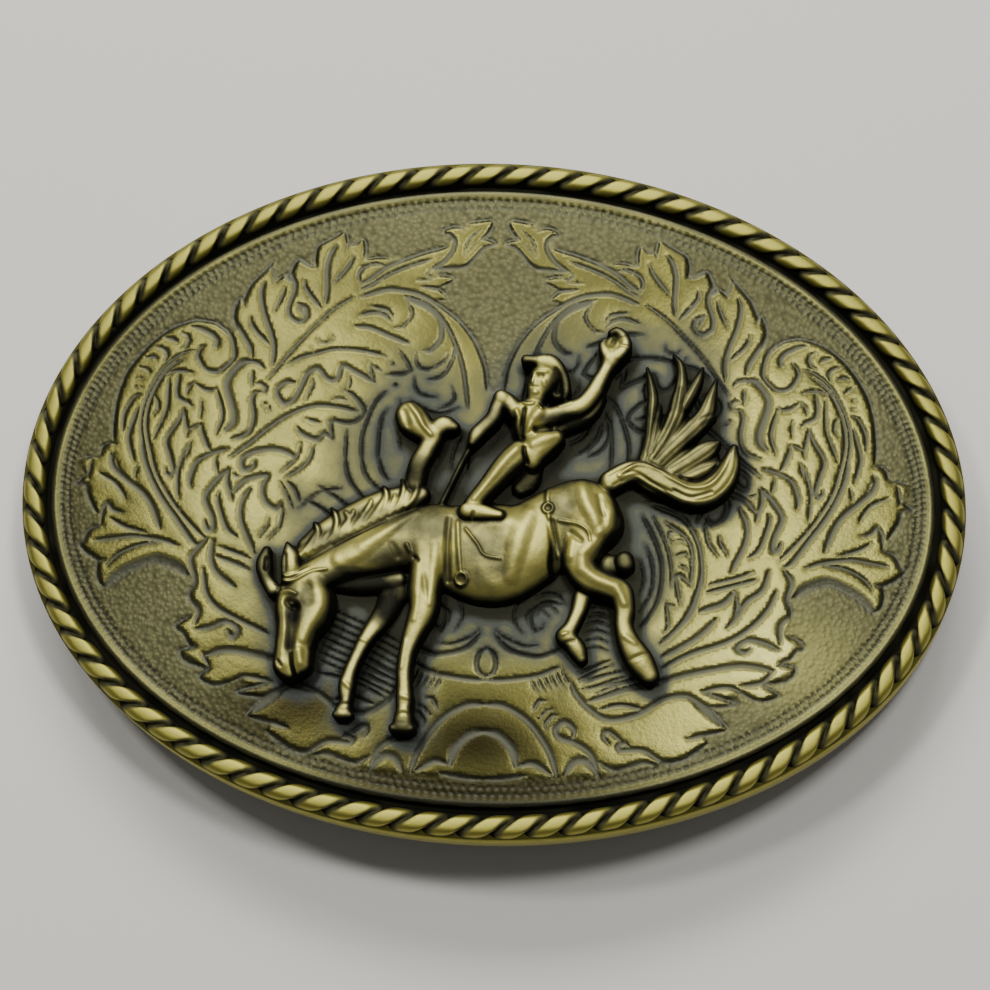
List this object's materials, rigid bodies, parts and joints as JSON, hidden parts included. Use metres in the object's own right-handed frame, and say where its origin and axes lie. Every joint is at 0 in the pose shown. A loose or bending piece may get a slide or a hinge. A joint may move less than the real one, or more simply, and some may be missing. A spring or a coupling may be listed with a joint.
{
  "type": "western belt buckle",
  "caption": "Oval western belt buckle with a twisted rope rim, a scroll-engraved face and a cast bucking horse and rider, and a belt loop and hook behind.",
  "frame": {"origin": "middle of the buckle on the surface it rests on, which the belt loop's bar and the hook's nose touch", "axes": "+X along the buckle, to the right as its face is seen; +Y up the buckle as it is worn; +Z out of its face"},
  "size_m": [0.095, 0.069, 0.017],
  "materials": {
    "antique_brass_frame": "cast, antiqued dark in the hollows and polished on the crests",
    "antique_brass_plate": "engraved and stippled, antiqued dark in the cuts and rubbed back",
    "antique_brass_figure": "cast, antiqued dark at its foot and polished on the crests",
    "dull_brass_fittings": "plain, satin, slightly tarnished"
  },
  "bodies": {
    "root": {"cast_frame": "antique_brass_frame", "engraved_plate": "antique_brass_plate", "horse_and_rider": "antique_brass_figure", "belt_loop": "dull_brass_fittings", "belt_hook": "dull_brass_fittings"}
  },
  "joints": []
}
